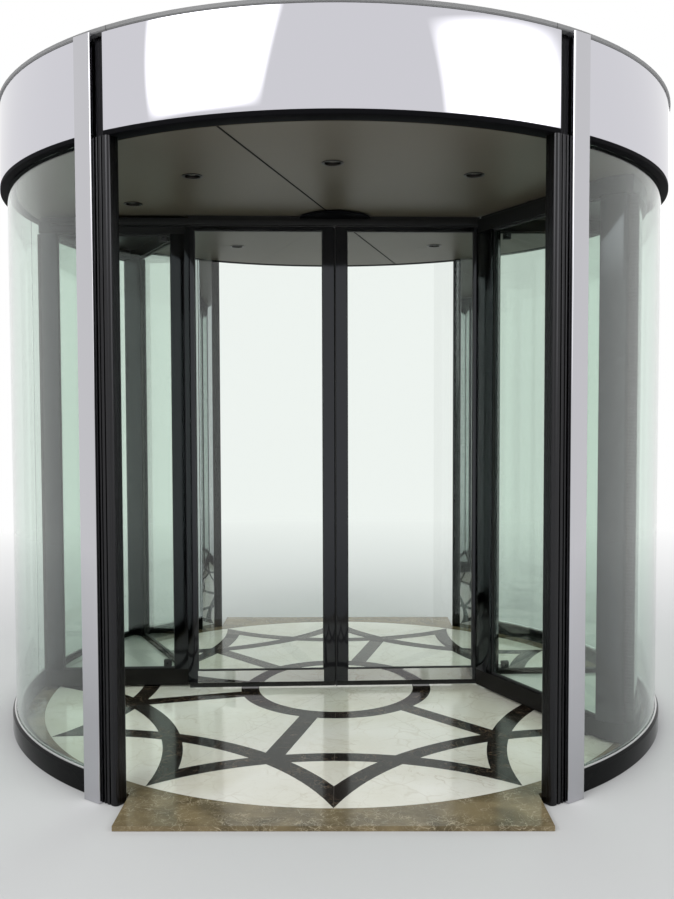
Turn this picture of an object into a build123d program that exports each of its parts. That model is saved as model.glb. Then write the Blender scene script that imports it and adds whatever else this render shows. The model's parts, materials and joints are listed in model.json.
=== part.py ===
# Two wing automatic revolving door: a glazed drum with a mirror canopy, and a rotor that carries
# a showcase at each end and a pair of sliding doors across its middle.
# Millimetres. Origin on the floor's underside, on the turning axis. The street side is at -Y.

from build123d import *
from math import asin, atan2, cos, degrees, radians, sin, sqrt
import os

os.makedirs("parts", exist_ok=True)

# drum
drum_radius = 1700          # outer face of the base ring
ring_width = 60
ring_height = 90
ring_lip = 8                # slope along the ring's top edges
glass_inset = 18            # from the ring's outer face to the glass
glass_thickness = 12
panel_gap = 4               # upright joint between two curved panels
face_gap = 0.3              # between round faces that meet
run_gap = 8                 # between what turns and what stands still

# floor
floor_thickness = 20
border_width = 90           # brown border around the inlaid disc
clear_height = 2600         # floor finish to ceiling

# end posts, beside the two doorways
post_azimuth = 33.8         # from the doorway's middle to the mirror strip
strip_width = 92
strip_depth = 100
strip_proud = 40
strip_corner = 3
recess_width = 5            # dark line between strip and jamb
jamb_width = 68
jamb_depth = 60
jamb_proud = 20
jamb_corner = 16
jamb_groove = 6
jamb_grooves = (12, 34)     # from the jamb's edge to each groove's middle
neck_setback = 20           # from the jamb's face to the neck that joins it to the strip
slot_width = 42             # between the strip and the end of the front fascia
slot_back = (34, 40, 14)    # the slot's dark back: along, deep, and how far inside the drum's face

# canopy
lip_proud = 15
lip_height = 20
canopy_height = 413
fascia_thickness = 16
ceiling_thickness = 20
ceiling_seam = 3
ceiling_seam_azimuth = 15
deck_thickness = 20
deck_proud = 5
light_count = 10
light_inset = 560           # from the ring's inner face to the lights' middles
light_azimuth = 0
light_radius = 48
light_hole = 42
light_gap = 0.5
light_wall = 6
light_sides = 12
light_rim = 3
light_can_height = 60
light_lens_depth = 10

# rotor
rest_turn = 2.5
rotor_gap = 8               # under the ceiling
sweep_gap = 20              # between the rigid pieces that turn and the drum
brush_gap = 8               # between the upright brushes and the drum
base_clearance = 12         # under the showcases, filled by a brush
base_height = 88
rail_width = 50
pocket_floor = 12
roof_height = 73
header_width = 70
header_height = 36
header_inset = 75           # from the sweep to the header's ends
track_wall = 8
track_ledge = 6
track_neck = 20
hub_radius = 195
hub_thickness = 8
shaft_radius = 45
shaft_clearance = 0.05
bearing_radius = 140
bearing_height = 110
collar_radius = 85
collar_height = 22

# showcases, the right one seen from the street, and the left one half a turn from it
panel_inset = 27            # from a showcase's side to the middle of its pane
leaf_lap = 35               # how far a showcase's corner reaches in front of the closed door
inner_post_face = 120       # along the slanted side
inner_post_side = 118       # along the doors
inner_post_depth = 52
end_post_width = 88
end_post_inset = 10         # from the outline's end to the post
nose_azimuth = 35.5         # forward of the doors' line
nose_post = (84, 118)
nose_inset = 31             # from the sweep to the nose post's face
pane_thickness = 10
curved_pane_inset = 22
brush_thickness = 8
brush_reach = 30

# sliding doors
leaf_inner = 5
leaf_outer = 817
leaf_depth = 40
meeting_stile = 62
outer_stile = 52
leaf_top_rail = 20
leaf_bottom_rail = 67
leaf_brush_height = 30
leaf_brush_inset = 2        # from a door's edge to its brush
leaf_floor_gap = 6
leaf_head_gap = 5
leaf_pane = 8
hanger_thickness = 8
hanger_length = 60
roller_radius = 9
roller_length = 36
hanger_inset = 150          # from each end of a door

floor_top = floor_thickness
ceiling_bottom = floor_top + clear_height
lip_radius = drum_radius + lip_proud
ring_inner = drum_radius - ring_width
disc_radius = ring_inner - border_width
light_circle = ring_inner - light_inset
sweep_radius = ring_inner - sweep_gap
brush_radius = ring_inner - brush_gap
header_reach = sweep_radius - header_inset
curved_pane_radius = sweep_radius - curved_pane_inset
nose_radius = sweep_radius - nose_inset - nose_post[1] / 2
glass_outer = drum_radius - glass_inset
glass_inner = glass_outer - glass_thickness
fascia_bottom = ceiling_bottom + lip_height
fascia_top = ceiling_bottom + canopy_height - deck_thickness
rotor_top = ceiling_bottom - rotor_gap
header_top = rotor_top - hub_thickness
header_bottom = header_top - header_height
base_bottom = floor_top + base_clearance
base_top = base_bottom + base_height
roof_bottom = header_top - roof_height
strip_turn = degrees(asin((strip_width / 2 + 2) / ring_inner))
wall_start = post_azimuth + strip_turn
front_end = post_azimuth - degrees(asin((strip_width / 2 + slot_width) / lip_radius))
flat_back = -header_width / 2
flat_end = sqrt(sweep_radius**2 - flat_back**2) - 2
end_post_place = flat_end - end_post_inset - end_post_width / 2
inner_corner = leaf_outer - leaf_lap


def level(height):
    """A level plane that doesn't turn."""
    return Plane.XY.offset(height)


def rotor_level(height, side=1):
    """A level plane of the rotor. On the left side it is half a turn round."""
    turn = radians(rest_turn + (0 if side > 0 else 180))
    return Plane(origin=(0, 0, height), x_dir=(cos(turn), sin(turn), 0), z_dir=(0, 0, 1))


def polar(radius, azimuth):
    """A point by its azimuth from the street side's middle, towards the right."""
    return (radius * sin(radians(azimuth)), -radius * cos(radians(azimuth)))


def sector(start, end, inner, outer):
    """The outline between two radii and two azimuths."""
    middle = (start + end) / 2
    with BuildLine() as outline:
        ThreePointArc(polar(inner, start), polar(inner, middle), polar(inner, end))
        Line(polar(inner, end), polar(outer, end))
        ThreePointArc(polar(outer, end), polar(outer, middle), polar(outer, start))
        Line(polar(outer, start), polar(inner, start))
    return outline.edges()


def save(piece, name):
    piece.part.label = name
    export_step(piece.part, f"parts/{name}.step")


def make_floor():
    """The round stone floor, its border and the straight thresholds of the doorways."""
    with BuildPart() as disc:
        with BuildSketch(level(0)):
            Circle(disc_radius)
        extrude(amount=floor_thickness)
    save(disc, "floor_disc")
    with BuildPart() as border:
        with BuildSketch(level(0)):
            Circle(ring_inner - face_gap)
            Circle(disc_radius + face_gap, mode=Mode.SUBTRACT)
        extrude(amount=floor_thickness)
    save(border, "floor_border")
    with BuildPart() as thresholds:
        with BuildSketch(level(0)):
            Rectangle(2 * jamb_face_x(), 2 * drum_radius)
            Circle(ring_inner, mode=Mode.SUBTRACT)
        extrude(amount=floor_thickness)
    save(thresholds, "thresholds")


def jamb_face_x():
    """How far the threshold reaches sideways before it meets a jamb."""
    along = strip_width / 2 + recess_width + jamb_width
    back = drum_radius + jamb_proud - jamb_depth
    turn = radians(post_azimuth)
    return back * sin(turn) - along * cos(turn) - 1


def make_wall(name, side):
    """One side of the drum: its base ring and two curved panes."""
    with BuildPart() as ring:
        with BuildSketch(Plane.XZ) as section:
            with BuildLine():
                Polyline(
                    (ring_inner, 0),
                    (drum_radius, 0),
                    (drum_radius, ring_height - ring_lip),
                    (drum_radius - ring_lip, ring_height),
                    (ring_inner + ring_lip, ring_height),
                    (ring_inner, ring_height - ring_lip),
                    close=True,
                )
            make_face()
        revolve(axis=Axis.Z)
        with BuildSketch(level(0)):
            make_face(sector(side * wall_start, side * (180 - wall_start), ring_inner - 50, lip_radius))
        extrude(amount=ring_height, mode=Mode.INTERSECT)
    save(ring, f"base_ring_{name}")
    half_gap = degrees(panel_gap / 2 / glass_outer)
    spans = {"front": (wall_start, 90 - half_gap), "rear": (90 + half_gap, 180 - wall_start)}
    for end, (start, stop) in spans.items():
        with BuildPart() as pane:
            with BuildSketch(level(ring_height)):
                make_face(sector(side * start, side * stop, glass_inner, glass_outer))
            extrude(amount=ceiling_bottom - ring_height)
        save(pane, f"drum_glass_{name}_{end}")


def post_plane(height, side, end):
    """A plane at a post, X towards the doorway and Y outward or inward."""
    azimuth = side * (post_azimuth if end == "front" else 180 - post_azimuth)
    turn = radians(azimuth)
    toward = -side if end == "front" else side
    x_dir = (toward * cos(turn), toward * sin(turn), 0)
    x, y = polar(drum_radius, azimuth)
    return Plane(origin=(x, y, height), x_dir=x_dir, z_dir=(0, 0, 1))


def make_post(name, side, end):
    """A jamb with its neck and the slot's back, and the mirror strip that runs up past the canopy."""
    outward = 1 if (side > 0) != (end == "front") else -1
    strip_middle = strip_proud - strip_depth / 2
    with BuildPart() as strip:
        with BuildSketch(post_plane(0, side, end)):
            with Locations((0, outward * strip_middle)):
                RectangleRounded(strip_width, strip_depth, strip_corner)
        extrude(amount=fascia_top)
    save(strip, f"mirror_strip_{end}_{name}")
    jamb_start = strip_width / 2 + recess_width
    jamb_middle = jamb_start + jamb_width / 2
    neck_depth = jamb_depth - neck_setback
    slot_along, slot_deep, slot_inside = slot_back
    with BuildPart() as jamb:
        with BuildSketch(post_plane(0, side, end)):
            with Locations((jamb_middle, outward * (jamb_proud - jamb_depth / 2))):
                RectangleRounded(jamb_width, jamb_depth, jamb_corner)
            with Locations((jamb_start, outward * (jamb_proud - neck_setback - neck_depth / 2))):
                Rectangle(2 * recess_width, neck_depth)
            with Locations((jamb_start + jamb_corner, outward * (jamb_proud - neck_setback - neck_depth / 2))):
                Rectangle(2 * jamb_corner, neck_depth)
            for place in jamb_grooves:
                with Locations((jamb_start + place, outward * jamb_proud)):
                    Rectangle(jamb_groove, 2 * jamb_groove, mode=Mode.SUBTRACT)
        extrude(amount=ceiling_bottom)
        with BuildSketch(post_plane(ceiling_bottom, side, end)):
            with Locations(((strip_width + slot_along) / 2, -outward * (slot_inside + slot_deep / 2))):
                Rectangle(slot_along, slot_deep)
        extrude(amount=fascia_top - ceiling_bottom)
    save(jamb, f"jamb_{end}_{name}")


def make_canopy():
    """The lip under the fascia, the fascia sheets, the two ceiling halves and the deck."""
    spans = {
        "front": (-front_end, front_end),
        "right": (wall_start, 180 - wall_start),
        "rear": (180 - front_end, 180 + front_end),
        "left": (180 + wall_start, 360 - wall_start),
    }
    with BuildPart() as lip:
        for start, stop in spans.values():
            with BuildSketch(level(ceiling_bottom)):
                make_face(sector(start, stop, ring_inner, lip_radius))
            extrude(amount=lip_height)
    save(lip, "canopy_lip")
    for name, (start, stop) in spans.items():
        with BuildPart() as sheet:
            with BuildSketch(level(fascia_bottom)):
                make_face(sector(start, stop, lip_radius - fascia_thickness, lip_radius))
            extrude(amount=fascia_top - fascia_bottom)
        save(sheet, f"fascia_{name}")
    for name, turned in (("left", 0), ("right", 180)):
        seam = radians(90 - ceiling_seam_azimuth + turned)
        side_plane = Plane(
            origin=(0, 0, ceiling_bottom), x_dir=(cos(seam), sin(seam), 0), z_dir=(0, 0, 1)
        )
        with BuildPart() as half:
            with BuildSketch(side_plane):
                Circle(ring_inner - face_gap)
                with Locations((0, -ring_inner - ceiling_seam / 2)):
                    Rectangle(2 * drum_radius, 2 * (ring_inner + ceiling_seam), mode=Mode.SUBTRACT)
                Circle(shaft_radius + run_gap, mode=Mode.SUBTRACT)
            extrude(amount=ceiling_thickness)
            with BuildSketch(level(ceiling_bottom)):
                with PolarLocations(light_circle, light_count, start_angle=light_azimuth - 90):
                    RegularPolygon(light_hole + light_gap, light_sides)
            extrude(amount=ceiling_thickness, mode=Mode.SUBTRACT)
        save(half, f"ceiling_{name}")
    with BuildPart() as deck:
        with BuildSketch(level(fascia_top)):
            Circle(lip_radius + deck_proud)
        extrude(amount=deck_thickness)
    save(deck, "canopy_deck")


def make_lights():
    """Ten downlights: a rim under the ceiling, a can above it and a recessed lens."""
    with BuildPart() as lights:
        with BuildSketch(level(ceiling_bottom - light_rim)):
            with PolarLocations(light_circle, light_count, start_angle=light_azimuth - 90):
                RegularPolygon(light_radius, light_sides)
        extrude(amount=light_rim)
        with BuildSketch(level(ceiling_bottom)):
            with PolarLocations(light_circle, light_count, start_angle=light_azimuth - 90):
                RegularPolygon(light_hole, light_sides)
        extrude(amount=light_can_height)
        with BuildSketch(level(ceiling_bottom - light_rim)):
            with PolarLocations(light_circle, light_count, start_angle=light_azimuth - 90):
                RegularPolygon(light_hole - light_wall, light_sides)
        extrude(amount=light_lens_depth, mode=Mode.SUBTRACT)
    save(lights, "downlights")


def make_bearing():
    """The bearing on the ceiling, and the shaft that hangs in it by its collar."""
    bearing_bottom = ceiling_bottom + ceiling_thickness
    bearing_top = bearing_bottom + bearing_height
    with BuildPart() as bearing:
        with BuildSketch(level(bearing_bottom)):
            Circle(bearing_radius)
        extrude(amount=bearing_height)
        with BuildSketch(level(bearing_bottom)):
            Circle(shaft_radius + shaft_clearance)
        extrude(amount=bearing_height, mode=Mode.SUBTRACT)
    save(bearing, "drive_bearing")
    with BuildPart() as shaft:
        with BuildSketch(level(rotor_top)):
            Circle(shaft_radius)
        extrude(amount=bearing_top + face_gap - rotor_top)
        with BuildSketch(level(bearing_top + face_gap)):
            Circle(collar_radius)
        extrude(amount=collar_height)
    save(shaft, "drive_shaft")
    with BuildPart() as hub:
        with BuildSketch(rotor_level(header_top)):
            Circle(hub_radius)
        extrude(amount=hub_thickness)
    save(hub, "hub_cover")


def make_header():
    """The beam across the rotor, a track open below for the doors' rollers."""
    with BuildPart() as header:
        with BuildSketch(rotor_level(header_bottom)):
            Rectangle(2 * header_reach, header_width)
        extrude(amount=header_height)
        with BuildSketch(rotor_level(header_bottom + track_ledge)):
            Rectangle(2 * (header_reach - track_wall), header_width - 2 * track_wall)
        extrude(amount=header_height - track_ledge - track_wall, mode=Mode.SUBTRACT)
        with BuildSketch(rotor_level(header_bottom)):
            Rectangle(2 * (header_reach - track_wall), track_neck)
        extrude(amount=track_ledge, mode=Mode.SUBTRACT)
    save(header, "header_beam")


def nose_point(radius):
    """A point on the nose post's middle line, in the showcase's own axes."""
    turn = radians(nose_azimuth)
    return Vector(radius * cos(turn), -radius * sin(turn))


def outline_corners():
    """The showcase's corners in plan: at the doors, at the drum, at the nose and behind the nose."""
    reach = sqrt(flat_end**2 + flat_back**2)
    nose_turn = -radians(nose_azimuth) - nose_post[0] / 2 / reach
    nose = Vector(reach * cos(nose_turn), reach * sin(nose_turn))
    behind = nose - nose_point(nose_post[1])
    return Vector(inner_corner, flat_back), Vector(flat_end, flat_back), nose, behind


def showcase_outline():
    """The showcase in plan: flat, round at the drum, then slanted back to the doors."""
    inner, end, nose, behind = outline_corners()
    reach = end.length
    middle = (atan2(end.Y, end.X) + atan2(nose.Y, nose.X)) / 2
    with BuildLine() as outline:
        Line(inner, end)
        ThreePointArc(end, (reach * cos(middle), reach * sin(middle)), nose)
        Line(nose, behind)
        Line(behind, inner)
    return outline.edges()


def slant_axes():
    """Along the slanted side from the doors to the nose, and from that side into the showcase."""
    inner, end, nose, behind = outline_corners()
    along = (behind - inner).normalized()
    return along, Vector(-along.Y, along.X)


def inner_post_outline():
    """The post at the doors, with one face on the slanted side and one on the doors' side."""
    inner, end, nose, behind = outline_corners()
    along, into = slant_axes()
    face_end = inner + along * inner_post_face
    side_end = inner + Vector(inner_post_side, 0)
    with BuildLine() as outline:
        Polyline(
            inner,
            face_end,
            face_end + into * inner_post_depth,
            side_end - Vector(0, inner_post_depth),
            side_end,
            close=True,
        )
    return outline.edges()


def make_showcase(name, side):
    """A glazed showcase: base, roof, posts, three panes and its brushes."""
    with BuildPart() as base:
        with BuildSketch(rotor_level(base_bottom, side)):
            make_face(showcase_outline())
        extrude(amount=base_height)
        with BuildSketch(rotor_level(base_bottom + pocket_floor, side)):
            make_face(showcase_outline())
            offset(amount=-rail_width, mode=Mode.REPLACE)
        extrude(amount=base_height - pocket_floor, mode=Mode.SUBTRACT)
    save(base, f"showcase_base_{name}")
    with BuildPart() as roof:
        with BuildSketch(rotor_level(roof_bottom, side)):
            make_face(showcase_outline())
        extrude(amount=roof_height)
        with BuildSketch(rotor_level(roof_bottom, side)):
            make_face(showcase_outline())
            offset(amount=-rail_width, mode=Mode.REPLACE)
        extrude(amount=roof_height - pocket_floor, mode=Mode.SUBTRACT)
    save(roof, f"showcase_roof_{name}")
    post_height = roof_bottom - base_top
    panel_line = flat_back - panel_inset
    nose_turn = -nose_azimuth
    nose_middle = nose_point(nose_radius)
    with BuildPart() as posts:
        with BuildSketch(rotor_level(base_top, side)):
            make_face(inner_post_outline())
            with Locations((end_post_place, panel_line)):
                Rectangle(end_post_width, 2 * panel_inset)
            with Locations(Location((nose_middle.X, nose_middle.Y, 0), nose_turn)):
                Rectangle(nose_post[1], nose_post[0])
        extrude(amount=post_height)
    save(posts, f"showcase_posts_{name}")
    flat_start = inner_corner + inner_post_side
    flat_length = end_post_place - end_post_width / 2 - flat_start
    with BuildPart() as flat:
        with BuildSketch(rotor_level(base_top, side)):
            with Locations((flat_start + flat_length / 2, panel_line)):
                Rectangle(flat_length, pane_thickness)
        extrude(amount=post_height)
    save(flat, f"showcase_flat_glass_{name}")
    inner, end, nose, behind = outline_corners()
    along, into = slant_axes()
    slant_start = inner + along * (inner_post_face - panel_inset) + into * panel_inset
    run = behind + into * panel_inset - slant_start
    turn = degrees(atan2(run.Y, run.X))
    middle = slant_start + run / 2
    with BuildPart() as slanted:
        with BuildSketch(rotor_level(base_top, side)):
            with Locations(Location((middle.X, middle.Y, 0), turn)):
                Rectangle(run.length, pane_thickness)
        extrude(amount=post_height)
        add(posts.part, mode=Mode.SUBTRACT)
    save(slanted, f"showcase_slanted_glass_{name}")
    pane_back = curved_pane_radius - pane_thickness
    start_turn = degrees(asin((panel_inset - panel_line) / pane_back))
    stop_turn = nose_azimuth - degrees(asin(nose_post[0] / 2 / pane_back))
    with BuildPart() as curved:
        with BuildSketch(rotor_level(base_top, side)):
            make_face(sector(90 - start_turn, 90 - stop_turn, pane_back, curved_pane_radius))
        extrude(amount=post_height)
    save(curved, f"showcase_curved_glass_{name}")
    with BuildPart() as brushes:
        with BuildSketch(rotor_level(floor_top + leaf_floor_gap, side)):
            make_face(showcase_outline())
            offset(amount=-brush_reach, mode=Mode.REPLACE)
            offset(amount=-brush_thickness, mode=Mode.SUBTRACT)
        extrude(amount=base_bottom - floor_top - leaf_floor_gap)
        end_face = end_post_place + end_post_width / 2
        nose_face = nose_radius + nose_post[1] / 2
        brush_middle = nose_point((nose_face + brush_radius) / 2)
        with BuildSketch(rotor_level(base_top, side)):
            with Locations(((end_face + brush_radius) / 2, panel_line)):
                Rectangle(brush_radius - end_face, brush_thickness)
            with Locations(Location((brush_middle.X, brush_middle.Y, 0), nose_turn)):
                Rectangle(brush_radius - nose_face, brush_thickness)
        extrude(amount=post_height)
    save(brushes, f"showcase_brush_{name}")


def make_leaf(name, side):
    """One sliding door: frame with its two roller hangers, pane and floor brush."""
    leaf_bottom = floor_top + leaf_floor_gap + leaf_brush_height
    leaf_top = header_bottom - leaf_head_gap
    width = leaf_outer - leaf_inner
    middle = (leaf_inner + leaf_outer) / 2
    height = leaf_top - leaf_bottom
    pane_width = width - meeting_stile - outer_stile
    pane_height = height - leaf_top_rail - leaf_bottom_rail
    pane_middle = leaf_inner + meeting_stile + pane_width / 2
    pane_bottom = leaf_bottom + leaf_bottom_rail
    ledge_top = header_bottom + track_ledge
    roller_height = ledge_top + face_gap + roller_radius
    hanger_places = (leaf_inner + hanger_inset, leaf_outer - hanger_inset)
    with BuildPart() as frame:
        with BuildSketch(rotor_level(leaf_bottom, side)):
            with Locations((middle, 0)):
                Rectangle(width, leaf_depth)
        extrude(amount=height)
        with BuildSketch(rotor_level(pane_bottom, side)):
            with Locations((pane_middle, 0)):
                Rectangle(pane_width, 2 * leaf_depth)
        extrude(amount=pane_height, mode=Mode.SUBTRACT)
        with BuildSketch(rotor_level(leaf_top, side)):
            for place in hanger_places:
                with Locations((place, 0)):
                    Rectangle(hanger_length, hanger_thickness)
        extrude(amount=roller_height - leaf_top)
        turn = radians(rest_turn + (0 if side > 0 else 180))
        along = Vector(cos(turn), sin(turn), 0)
        across = Vector(-sin(turn), cos(turn), 0)
        for place in hanger_places:
            for shift in (-hanger_length / 2 + roller_radius, hanger_length / 2 - roller_radius):
                start = along * (place + shift) - across * (roller_length / 2)
                centre = (start.X, start.Y, roller_height)
                with BuildSketch(Plane(origin=centre, x_dir=along, z_dir=across)):
                    Circle(roller_radius)
                extrude(amount=roller_length)
    save(frame, f"leaf_frame_{name}")
    with BuildPart() as pane:
        with BuildSketch(rotor_level(pane_bottom, side)):
            with Locations((pane_middle, 0)):
                Rectangle(pane_width, leaf_pane)
        extrude(amount=pane_height)
    save(pane, f"leaf_glass_{name}")
    with BuildPart() as brush:
        with BuildSketch(rotor_level(leaf_bottom - leaf_brush_height, side)):
            with Locations((middle, 0)):
                Rectangle(width - 2 * leaf_brush_inset, brush_thickness)
        extrude(amount=leaf_brush_height)
    save(brush, f"leaf_brush_{name}")


make_floor()
for wall_name, wall_side in (("left", -1), ("right", 1)):
    make_wall(wall_name, wall_side)
    make_post(wall_name, wall_side, "front")
    make_post(wall_name, wall_side, "rear")
    make_showcase(wall_name, wall_side)
    make_leaf(wall_name, wall_side)
make_canopy()
make_lights()
make_bearing()
make_header()
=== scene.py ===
import json
import math

import bpy
import numpy as np
from mathutils import Matrix, Vector


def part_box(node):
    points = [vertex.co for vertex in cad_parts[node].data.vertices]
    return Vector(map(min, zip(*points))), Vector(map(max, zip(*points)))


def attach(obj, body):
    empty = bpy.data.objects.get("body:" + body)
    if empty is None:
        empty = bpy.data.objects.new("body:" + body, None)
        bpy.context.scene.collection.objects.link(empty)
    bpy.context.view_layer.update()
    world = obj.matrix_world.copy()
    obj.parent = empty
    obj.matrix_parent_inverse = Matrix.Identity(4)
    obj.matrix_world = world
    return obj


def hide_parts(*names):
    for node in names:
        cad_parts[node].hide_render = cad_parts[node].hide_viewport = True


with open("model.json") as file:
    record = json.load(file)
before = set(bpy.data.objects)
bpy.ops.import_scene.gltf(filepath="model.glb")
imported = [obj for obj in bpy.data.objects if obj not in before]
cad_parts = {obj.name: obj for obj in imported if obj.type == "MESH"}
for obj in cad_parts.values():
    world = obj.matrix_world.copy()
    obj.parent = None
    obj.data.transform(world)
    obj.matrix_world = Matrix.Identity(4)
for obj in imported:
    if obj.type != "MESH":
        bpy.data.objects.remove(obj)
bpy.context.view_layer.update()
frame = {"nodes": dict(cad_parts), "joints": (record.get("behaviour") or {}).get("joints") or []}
nodes = frame["nodes"]

# Sizes read from the frame, in metres, so that each piece sits where the construction is
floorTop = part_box("floor_disc")[1].z
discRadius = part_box("floor_disc")[1].x
ringOuter = max(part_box("base_ring_right")[1].x, -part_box("base_ring_left")[0].x)
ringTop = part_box("base_ring_right")[1].z
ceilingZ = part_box("ceiling_left")[0].z
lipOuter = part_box("canopy_lip")[1].x
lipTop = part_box("canopy_lip")[1].z
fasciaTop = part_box("fascia_front")[1].z
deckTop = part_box("canopy_deck")[1].z
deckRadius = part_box("canopy_deck")[1].x
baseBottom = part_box("showcase_base_right")[0].z
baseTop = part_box("showcase_base_right")[1].z
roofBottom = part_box("showcase_roof_right")[0].z
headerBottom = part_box("header_beam")[0].z
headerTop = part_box("header_beam")[1].z
slideAxis = [j for j in frame["joints"] if j["name"] == "leaf_right_slide"][0]["axis"]
restTurn = math.degrees(math.atan2(slideAxis[1], slideAxis[0]))
print("frame loaded, rotor turned by", round(restTurn, 2))


# Mesh building: every shape is a part, a pair of a point array and a list of face arrays


def spread(x, y, z):
    # Points put together from arrays or single numbers
    return np.stack(np.broadcast_arrays(x, y, z), -1)


def unit(vectors):
    # Each vector divided by its length
    return vectors / np.linalg.norm(vectors, axis=-1, keepdims=True)


def polar(radius, azimuth):
    # The plan point at a radius and an azimuth in degrees, counted from the front towards the right
    a = np.radians(azimuth)
    return np.stack([radius * np.sin(a), -radius * np.cos(a)], -1)


def tube(grid, closed=False):
    # Quads between neighbouring points of a grid whose rows are closed outlines. Its first and last rows are
    # capped, or joined like a ring.
    rows, count = grid.shape[:2]
    r, c = np.meshgrid(np.arange(rows if closed else rows - 1), np.arange(count), indexing="ij")
    this, following, cNext = r * count, (r + 1) % rows * count, (c + 1) % count
    quads = np.stack([this + c, this + cNext, following + cNext, following + c], -1)
    faces = list(quads.reshape(-1, 4))
    if not closed:
        faces += [np.arange(count)[::-1], np.arange(count) + count * (rows - 1)]
    return grid.reshape(-1, 3), faces


def insetOutline(outline, distance):
    # Each corner moves along the mean of its two edge normals, by the mitre length
    ahead = unit(np.roll(outline, -1, axis=0) - outline)
    after = np.stack([-ahead[:, 1], ahead[:, 0]], 1)
    before = np.roll(after, 1, axis=0)
    return outline + distance * (after + before) / (1 + np.sum(after * before, axis=1, keepdims=True))


def stacked(outline, profile, closed=False):
    # A plan outline carried up a profile of inset and height pairs, capped, or closed like a ring
    levels = [spread(*insetOutline(outline, inset).T, height) for inset, height in profile]
    return tube(np.stack(levels), closed)


def upright(outline, low, high, bevel):
    # An upright bar with small bevels round both ends
    return stacked(outline, [(bevel, low), (0, low + bevel), (0, high - bevel), (bevel, high)])


def roundedOutline(corners, radius, steps=3):
    # Each corner becomes a circular arc, tangent to its two edges, by turning one edge normal to the next
    corners = np.asarray(corners, float)
    radii = np.broadcast_to(radius, len(corners))
    t = np.linspace(0, 1, steps + 1)[:, None]
    points = []
    for before, corner, after, size in zip(np.roll(corners, 1, 0), corners, np.roll(corners, -1, 0), radii):
        a, b = unit(before - corner), unit(after - corner)
        half = math.acos(a @ b) / 2
        middle = corner + unit(a + b) * size / math.sin(half)
        first, last = (corner + edge * size / math.tan(half) - middle for edge in (a, b))
        points.append(middle + size * unit(first * (1 - t) + last * t))
    return np.concatenate(points)


def section(inner, outer, low, high, radius=0.0, steps=3):
    # A rectangle of across and height pairs, its corners rounded
    corners = np.array([(inner, low), (outer, low), (outer, high), (inner, high)], float)
    return roundedOutline(corners, radius, steps) if radius else corners


def chamfered(inner, outer, low, high, bevel):
    # The same rectangle with its corners cut off by a bevel
    return [(inner + bevel, low), (outer - bevel, low), (outer, low + bevel), (outer, high - bevel),
            (outer - bevel, high), (inner + bevel, high), (inner, high - bevel), (inner, low + bevel)]


def rectangle(x, y, width, depth, radius=0.0, turn=0.0, steps=4):
    # A rectangle in plan round x, y, turned by an angle in degrees, its corners rounded
    shape = section(-width / 2, width / 2, -depth / 2, depth / 2, radius, steps)
    c, s = math.cos(math.radians(turn)), math.sin(math.radians(turn))
    return shape @ np.array([(c, s), (-s, c)]) + np.array([x, y])


def between(first, last, width):
    # A bar's plan between two points
    run = last - first
    return rectangle(*(first + last) / 2, math.hypot(*run), width, turn=math.degrees(math.atan2(run[1], run[0])))


def radialBar(inner, outer, width, azimuth):
    # A bar's plan along an azimuth, between two radii
    return rectangle(*polar((inner + outer) / 2, azimuth), width, outer - inner, turn=azimuth)


def carried(profile, start, stop, steps):
    # A closed radius and height profile turned about Z between two azimuths, capped unless it goes all round
    azimuth = np.radians(np.linspace(start, stop, steps + 1))[:, None]
    radius, height = np.asarray(profile, float).T
    grid = spread(np.sin(azimuth) * radius, -np.cos(azimuth) * radius, height)
    allRound = stop - start >= 360
    return tube(grid[:-1] if allRound else grid, closed=allRound)


def turnedSolid(profile, steps):
    # A radius and height profile turned once round an upright line, with a flat cap at each end
    radius, height = np.asarray(profile, float).T[..., None]
    angle = np.linspace(0, 2 * math.pi, steps, endpoint=False)
    return tube(spread(radius * np.cos(angle), radius * np.sin(angle), height))


def moved(part, x, y, z=0.0):
    # The same part shifted
    return part[0] + np.array([x, y, z]), part[1]


def lying(profile, x, y, z, steps):
    # A radius and height profile turned round a level line along Y
    points, faces = turnedSolid(profile, steps)
    return moved((points[:, [0, 2, 1]], faces), x, y, z)


def outward(points, faces):
    # The signed volume of fans from each face's first point says whether the faces point outwards
    volume = 0.0
    for size in {len(face) for face in faces}:
        corner = points[np.array([face for face in faces if len(face) == size])]
        volume += np.sum(corner[:, :1] * np.cross(corner[:, 1:-1], corner[:, 2:]))
    return faces if volume > 0 else [face[::-1] for face in faces]


def newObject(name, data):
    # A new object in the scene's own collection
    made = bpy.data.objects.new(name, data)
    bpy.context.scene.collection.objects.link(made)
    return made


sharpAngle = 35


def addPiece(name, parts, finish, body, replaced=(), turn=0.0):
    # Each part's faces are set outwards by themselves. All become one mesh, turned about Z, that rides on a body.
    points, faces, count = [], [], 0
    for partPoints, partFaces in parts:
        points.append(partPoints)
        faces += [(face + count).tolist() for face in outward(partPoints, partFaces)]
        count += len(partPoints)
    c, s = math.cos(math.radians(turn)), math.sin(math.radians(turn))
    placed = np.concatenate(points) @ np.array([(c, s, 0), (-s, c, 0), (0, 0, 1)])
    mesh = bpy.data.meshes.new(name)
    mesh.from_pydata(placed.tolist(), [], faces)
    mesh.shade_smooth()
    mesh.set_sharp_from_angle(angle=math.radians(sharpAngle))
    mesh.materials.append(paint[finish])
    piece = newObject(name, mesh)
    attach(piece, body)
    if replaced:
        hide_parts(*replaced)


# Shader building


def feed(tree, node, **values):
    # Gives a node its settings, and each input that is named a number, a colour or a link. I6 is input 6.
    for key, value in values.items():
        if key[0].islower():
            setattr(node, key, value)
            continue
        socket = node.inputs[int(key[1:]) if key[1:].isdigit() else key.replace("_", " ")]
        if isinstance(value, bpy.types.NodeSocket):
            tree.links.new(value, socket)
        else:
            socket.default_value = (*value[:3], 1) if socket.type == "RGBA" else value
    return node


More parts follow.
